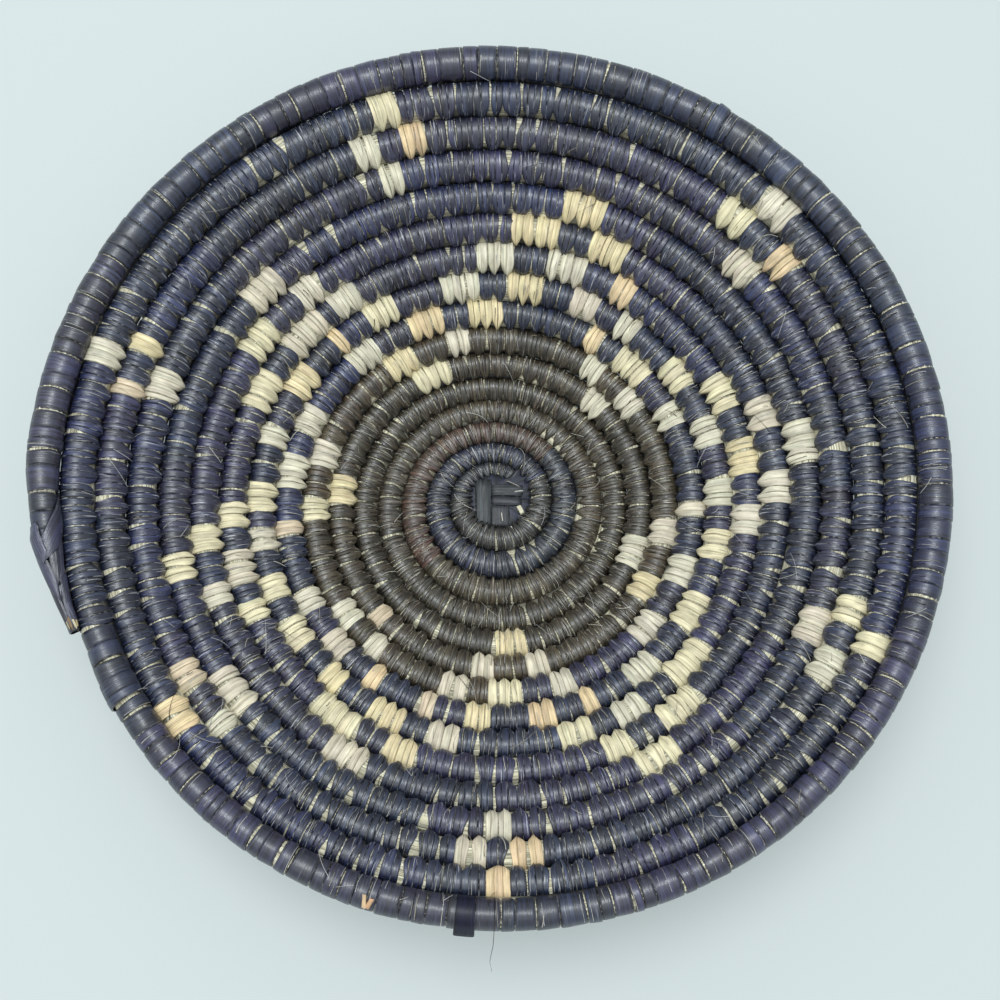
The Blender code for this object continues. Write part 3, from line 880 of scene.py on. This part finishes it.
def add_grass_bundle(material):
    """The bundle under the strips, as stems laid side by side, which shows wherever the strips part."""
    rings = round((LAST_TURN - FIRST_TURN) * STEM_RINGS_PER_TURN)
    turns = np.linspace(FIRST_TURN, LAST_TURN, rings)[:, None]
    sides = STEM_COUNT * 2
    angle = (np.arange(sides + 1) % sides * math.tau / sides)[None, :]
    length = turns * math.tau * radius_at(turns) / MM / 2
    ridge = np.where(np.arange(sides + 1) % 2 == 0, *STEM_RIDGES)[None, :]
    # It fills the seam with the row before, which is wider where the wall bends up.
    bend = smooth(1 - np.abs(turns - FLAT_TURNS - BEND_TURNS / 2) / BEND_TURNS)
    seam_zone = (180 - BEND_SHIFT * bend, SEAM_REACH + BEND_REACH * bend)
    seam = (SEAM_FILL + BEND_FILL * bend) * bump(angle, *seam_zone)
    dip = 0.5 + 0.5 * np.sin(length / SEAM_DIP_WAVE)
    seam -= SEAM_DIP * bump(angle, *DIP_ZONE) * dip * (1 - bend)
    swell = BUNDLE_SWELL * np.sin(angle * 3 + length / BUNDLE_SWELL_WAVE)
    lift = ridge - BUNDLE_DEPTH + swell + seam
    turn = turns + np.zeros_like(angle)
    twisted = angle + BUNDLE_TWIST * np.sin(length / BUNDLE_TWIST_WAVE)
    points = surface_point(turn, twisted, lift * MM, BUNDLE_FLOOR * MM)
    around = angle * full_coil_radius(turns) / MM
    stem = np.broadcast_to(np.arange(sides + 1) // 2 * STEM_SEED_STEP, turn.shape)
    strands = stacked(around, length, stem)
    tints = linear(STRAW_TINTS)[rng.integers(len(STRAW_TINTS), size=sides + 1)]
    tints[-1] = tints[0]
    # Between two rows the stems are near-black nearly everywhere: the dyed strips cover them, and painted
    # shade darkens the seam.
    waves = sum(np.sin(length / wave + start) for wave, start in BARE_WAVES)
    bare = smooth((waves - BARE_FROM) / BARE_RISE) * (turns < RIM_ROW_TURN)
    reach = np.where(turns < RIM_ROW_TURN, SHADED_SEAM_REACH, RIM_SHADED_SEAM_REACH)
    covered_and_shaded = bump(angle, 180, reach) ** 0.5 * (1 - bare)
    covered_and_shaded = np.where(turns > PLAIT_FIRST_TURN, 1, covered_and_shaded)
    for first, last, _ in natural_spans():
        covered_and_shaded = np.where((turns > first + 1) & (turns < last + 1), 0, covered_and_shaded)
    tints = tints * (1 - covered_and_shaded[..., None]) + linear(SEAM_SHADE_TINT) * covered_and_shaded[..., None]
    quads = grid_quads(1, rings, sides + 1, False)[:, ::-1]
    nodes = ("grass_bundle_coil",)
    add_piece("grass_stems", points, quads, tints, 1, strands, material, nodes, "dried_grass")


def both_sides(values):
    """Values over the top of a ribbon and back under it."""
    return np.r_[values, values[::-1]]


def ribbon_grid(place):
    """A thin closed strip, by place: its points from the shares along and across and the height in mm."""
    along = np.linspace(0, 1, RIBBON_RINGS)[:, None]
    underside = np.full(len(RIBBON_CROWN), RIBBON_CROWN.min() - RIBBON_THICKNESS)
    height = np.r_[RIBBON_CROWN, underside][None, :]
    return place(*np.broadcast_arrays(along, both_sides(RIBBON_ACROSS)[None, :], height))


def ribbon_quads():
    """The quads of a thin closed strip, with its two ends."""
    columns = len(RIBBON_ACROSS) * 2
    top = np.arange(len(RIBBON_ACROSS) - 1)
    cap = stacked(top, top + 1, columns - 2 - top, columns - 1 - top)
    sides = tube_quads(RIBBON_RINGS, columns)
    return np.concatenate((sides, cap[:, ::-1], cap + (RIBBON_RINGS - 1) * columns))


def add_ribbons(name, ribbons, material, nodes=(), slot=None):
    """One piece from thin strips, each given as (place, width in mm, length in mm, tint)."""
    points = np.stack([ribbon_grid(place) for place, _, _, _ in ribbons])
    quads = ribbon_quads()
    # The faces look outwards, whichever way the strips are laid.
    volume = np.linalg.det(points[0].reshape(-1, 3)[quads[:, :3]] - points[0].mean((0, 1))).sum()
    if volume < 0:
        quads = quads[:, ::-1]
    quads = repeated(quads, len(ribbons), RIBBON_RINGS * len(RIBBON_ACROSS) * 2)
    tints = np.array([linear(tint) for *_, tint in ribbons])[:, None, None]
    across = both_sides(RIBBON_ACROSS)[None, None, :]
    along = np.linspace(0, 1, RIBBON_RINGS)[None, :, None]
    sizes = np.array([(width, length) for _, width, length, _ in ribbons])[:, None, None]
    seeds = rng.uniform(*SEEDS, len(ribbons))[:, None, None]
    strands = stacked(across * sizes[..., 0], along * sizes[..., 1], seeds)
    add_piece(name, points, quads, tints, both_sides(RIBBON_EDGE), strands, material, nodes, slot)


def straight_between(start, end):
    """The length of a flat strip, and its middle line moved to the side, by the share along it."""
    length = np.linalg.norm(end - start)
    ahead = (end - start) / length
    side = np.array((ahead[1], -ahead[0]))

    def moved(along, aside):
        return start + (end - start) * along[..., None] + side * aside[..., None]

    return length, moved


def start_strip(start, end, width, height, tint):
    """A ribbon over the middle of the base, with its ends tucked down."""
    length, moved = straight_between(np.array(start), np.array(end))
    drop = min(START_DROP, START_DROP_SHARE * length)

    def place(along, across, lift):
        flat = moved(along, (across - 0.5) * width)
        tucked = drop * np.abs(2 * along - 1) ** START_DROP_POWER
        camber = START_CAMBER * (1 - (2 * across - 1) ** 2)
        twist = START_TWIST * np.sin(along * 6 + width) * (across - 0.2)
        rise = height - tucked + camber + lift + twist
        return np.concatenate((flat, rise[..., None]), -1) * MM

    return place, width, length, tint


def inner_edge(angle):
    """How far the hole in the middle of the coil reaches, at each angle."""
    reach = np.full_like(angle, np.inf)
    for whole in (0, 1):
        turn = whole + angle / math.tau
        edge = radius_at(turn) - full_coil_radius(turn)
        reach = np.where(turn >= PAD_START_TURN, np.minimum(reach, edge), reach)
    return reach


def add_start_pad(material):
    """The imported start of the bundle, a low round pad with a closed base."""
    angle = (np.arange(PAD_SIDES + 1) % PAD_SIDES * math.tau / PAD_SIDES)[None, :]
    base_out, base_rise = zip(*PAD_BASE)
    out = np.r_[np.linspace(PAD_HOLE, 1, PAD_RINGS), base_out][:, None]
    rise = np.r_[PAD_HEIGHT - PAD_DROP * np.linspace(0, 1, PAD_RINGS) ** 4, base_rise][:, None]
    reach = inner_edge(angle) / MM + PAD_UNDER_ROW
    middle = drift_at(np.array([FIRST_TURN]))[0] / MM
    x = middle[0] + reach * out * np.cos(angle)
    y = middle[1] + reach * out * np.sin(angle)
    waves = PAD_WAVE * np.sin(angle * 9 + out * 4)
    z = np.broadcast_to(rise, x.shape) + waves * (rise > 1)
    points = stacked(x, y, z) * MM
    tint = linear(INDIGO_TINTS[1]) * PAD_SHADE
    strands = stacked(angle * PAD_STRAND, reach * out, 0)
    quads = grid_quads(1, len(out), PAD_SIDES + 1, False)[:, ::-1]
    add_piece("start_pad", points, quads, tint, 0, strands, material, ("start_knot",), "indigo_raffia")


def add_start(material, pale):
    """The pad, and the strips crossed over it."""
    add_start_pad(material)
    crossed = [start_strip(*strip) for strip in START_STRIPS]
    add_ribbons("start_strips_crossed", crossed, material, ("start_strip_cross",), "indigo_raffia")
    long_strip = [start_strip(*START_LONG_STRIP)]
    add_ribbons("start_strip_upright", long_strip, material, ("start_strip_long",), "indigo_raffia")
    scraps = [start_strip(*scrap) for scrap in START_SCRAPS]
    add_ribbons("start_scraps", scraps, pale, slot="natural_raffia")


def plait_strip(start, end, width, height, tint):
    """A ribbon over the coil's end, tucked in at its start and pointed at its end."""
    per_turn = turn_length(LAST_TURN)
    per_degree = math.radians(1) * full_coil_radius(PLAIT_FIRST_TURN) / MM
    scale = np.array((1, per_degree))
    length, moved = straight_between(np.array(start) * scale, np.array(end) * scale)

    def place(along, across, lift):
        point = np.clip((along - PLAIT_POINT_START) / (1 - PLAIT_POINT_START), 0, 1)
        flat = moved(along, (across - 0.5) * (width * (1 - PLAIT_POINT * point)))
        turn = np.minimum(PLAIT_FIRST_TURN + flat[..., 0] / per_turn, PLAIT_LAST_TURN)
        tucked = PLAIT_TUCK * smooth(1 - along / PLAIT_TUCK_END)
        return surface_point(turn, np.radians(flat[..., 1] / per_degree), (height - tucked + lift) * MM)

    return place, width, length, tint


def add_plait(material, pale):
    """The herringbone plait that binds the coil's tapering end, and the frayed end under it."""
    strips = [plait_strip(*strip) for strip in PLAIT_STRIPS]
    add_ribbons("rim_plait", strips, material, ("rim_end_binding",), "navy_raffia")
    frayed = [plait_strip(*strip) for strip in FRAY_STRIPS]
    add_ribbons("rim_end_fray", frayed, pale, slot="natural_raffia")


def loose_end(turn, width, lean, start, leave, end, tint):
    """A ribbon round the rim, whose end leaves the coil and sticks out."""
    per_turn = turn_length(turn)
    radius = full_coil_radius(turn) / MM

    def place(along, across, lift):
        angle = start + (end - start) * along
        straight = radius * (1 / np.cos(np.radians(np.maximum(leave - angle, 0))) - 1)
        place_turn = turn + ((across - 0.5) * width + lean * (along - 0.5)) / per_turn
        return surface_point(place_turn, np.radians(angle), (LOOSE_END_LIFT + straight + lift) * MM)

    return place, width, LOOSE_END_LENGTH, tint


def tube_along(path, thickness):
    """Rings of points round a path."""
    ahead = np.gradient(path, axis=0)
    ahead /= np.linalg.norm(ahead, axis=1)[:, None]
    side = np.cross(ahead, FIBRE_UP)
    side /= np.linalg.norm(side, axis=1)[:, None]
    other = np.cross(ahead, side)
    angle = np.arange(FIBRE_SIDES) * math.tau / FIBRE_SIDES
    shrink = (1 - FIBRE_TAPER * np.linspace(0, 1, len(path)))[:, None, None]
    around = side[:, None] * np.cos(angle)[:, None] + other[:, None] * np.sin(angle)[:, None]
    return path[:, None] + around * thickness * shrink


def fibre_on_row(turn, length, middle, heading, bow, stand_off):
    """A stray fibre over a row, in millimetres, with its middle in degrees."""
    share = np.linspace(-0.5, 0.5, FIBRE_RINGS)
    along = length * share * math.cos(heading) + bow * np.cos(share * math.pi)
    around = middle + np.degrees(length * share * math.sin(heading) / (full_coil_radius(turn) / MM))
    lift = FIBRE_LIFT + stand_off * (0.5 + share)
    return surface_point(turn + along / turn_length(turn), np.radians(around), lift * MM)


def fibre_along_strip(turn, lengths, middles, off_strip, bow, stand_off):
    length = rng.uniform(*lengths)
    middle = rng.uniform(*middles)
    heading = math.pi / 2 + rng.normal(0, off_strip)
    return fibre_on_row(turn, length, middle, heading, rng.normal(0, bow), stand_off)


def wild_fibre(turn):
    least, more, power = WILD_LENGTHS
    length = least + more * rng.random() ** power
    middle = rng.uniform(*WILD_MIDDLES)
    heading = rng.uniform(*WILD_HEADINGS)
    return fibre_on_row(turn, length, middle, heading, either_way(WILD_BOW) * length, WILD_STAND_OFF)


def fibre_paths():
    """The middle lines of the stray fibres. The last is the long hair over the front of the rim."""
    paths = []
    first, more, power = FIBRE_TURNS
    for _ in range(FIBRE_COUNT):
        turn = first + more * rng.random() ** power
        wild = rng.random() < WILD_SHARE
        paths.append(wild_fibre(turn) if wild else fibre_along_strip(turn, *STRIP_FIBRE))
    for _ in range(RIM_FIBRE_COUNT):
        turn = RIM_ROW_TURN + rng.uniform(*RIM_FIBRE_TURNS)
        paths.append(fibre_along_strip(turn, *RIM_FIBRE))
    angles = np.radians(np.linspace(*HAIR_OVER_RIM))
    turns = np.full_like(angles, HAIR_TURN)
    over_rim = surface_point(turns, angles, np.full_like(angles, HAIR_LIFT * MM))
    paths.append(np.concatenate((over_rim, np.array(HAIR_END) * MM)))
    return paths


def add_loose_fibres(material):
    paths = fibre_paths()
    points = np.stack([tube_along(path, rng.uniform(*FIBRE_THICKNESSES) * MM) for path in paths])
    quads = repeated(tube_quads(FIBRE_RINGS, FIBRE_SIDES), len(paths), FIBRE_RINGS * FIBRE_SIDES)
    tints = linear(FIBRE_TINTS)[rng.integers(len(FIBRE_TINTS), size=len(paths))]
    tints[-1] = linear(FIBRE_TINTS[-1])
    strands = np.zeros(points.shape)
    strands[..., 1] = np.arange(FIBRE_RINGS)[None, :, None]
    add_piece("loose_fibres", points, quads, tints[:, None, None], 1, strands, material)


def add_floor():
    bpy.ops.mesh.primitive_circle_add(vertices=FLOOR_SIDES, radius=FLOOR_RADIUS, fill_type="TRIFAN")
    floor = bpy.context.object
    floor.name = "studio_floor"
    floor.location.z = -FLOOR_DROP
    tree = NodeTree(bpy.data.materials.new("pale_floor"))
    colour = (*linear(FLOOR_COLOUR), 1)
    tree.shade(Base_Color=colour, Roughness=FLOOR_ROUGHNESS, Specular_IOR_Level=FLOOR_SPECULAR)
    backdrop = tree.add("ShaderNodeEmission", {"Color": (*linear(FLOOR_SEEN_COLOUR), 1), "Strength": 1.0})
    tree.show_to_camera(FLOOR_SEEN_SHARE, backdrop, "Material Output")
    floor.data.materials.append(tree.owner)


def add_area_light(name, place, size, power):
    data = bpy.data.lights.new(name, "AREA")
    data.shape = "DISK"
    data.size = size
    data.energy = power
    data.color = DAYLIGHT
    lamp = new_object(name, data)
    lamp.location = place
    lamp.rotation_euler = (-Vector(place)).to_track_quat("-Z", "Y").to_euler()


def add_studio():
    """The lights, and a world that lights the bowl and shows as a plain backdrop."""
    bpy.context.scene.world = bpy.data.worlds.new("studio")
    tree = NodeTree(bpy.context.scene.world, "Background")
    tree.shade(Color=(*DAYLIGHT, 1), Strength=WORLD_STRENGTH)
    backdrop = tree.add("ShaderNodeBackground", {"Color": (*linear(WORLD_SEEN_COLOUR), 1)})
    tree.show_to_camera(1.0, backdrop, "World Output")
    for light in LIGHTS:
        add_area_light(*light)
    bpy.context.scene.view_settings.view_transform = "Standard"


def add_camera():
    data = bpy.data.cameras.new("photo_camera")
    data.sensor_width = SENSOR
    data.lens = SENSOR * FOCAL_PIXELS / IMAGE_SIDE
    data.clip_start = CLIP_START
    data.clip_end = CLIP_END
    camera = new_object("photo_camera", data)
    right, up, forward = camera_axes()
    axes = Matrix((right, up, -forward)).transposed()
    camera.matrix_world = Matrix.Translation(CAMERA_PLACE) @ axes.to_4x4()
    bpy.context.scene.camera = camera


def add_wrapping():
    """All of the raffia but the stray fibres. Gives the material of the natural blocks."""
    strips = strip_list()
    middle = field_of(strips, "middle")
    natural = field_of(strips, "natural") > 0
    dyed = {slot: raffia_material(f"{slot}_strips") for slot, _, _ in DYED_STRETCHES}
    for node, slot, first, last in wrap_nodes():
        # The last strips of a length may end past it, so each strip goes by its lobe's middle.
        inside = ~natural & (middle >= first) & (middle < last)
        add_strips(f"{node}_strips", strips[inside], dyed[slot], (node,), slot)
    pale = raffia_material("natural_raffia_strips")
    star = natural & (middle < STAR_END_TURN)
    add_strips("natural_raffia_star", strips[star], pale, slot="natural_raffia")
    add_strips("natural_raffia_diamonds", strips[natural & ~star], pale, slot="natural_raffia")
    add_start(raffia_material("indigo_raffia_start"), pale)
    add_plait(dyed["navy_raffia"], pale)
    dull = raffia_material("navy_raffia_strip_end")
    add_ribbons("rim_tab", [loose_end(*TAB)], dull, ("rim_strip_tab",), "navy_raffia")
    scraps = [loose_end(*scrap) for scrap in SCRAPS]
    add_ribbons("rim_scrap", scraps, pale, ("rim_natural_tab",), "natural_raffia")
    return pale


add_floor()
add_studio()
add_camera()
add_grass_bundle(grass_material())
pale_raffia = add_wrapping()
add_loose_fibres(pale_raffia)
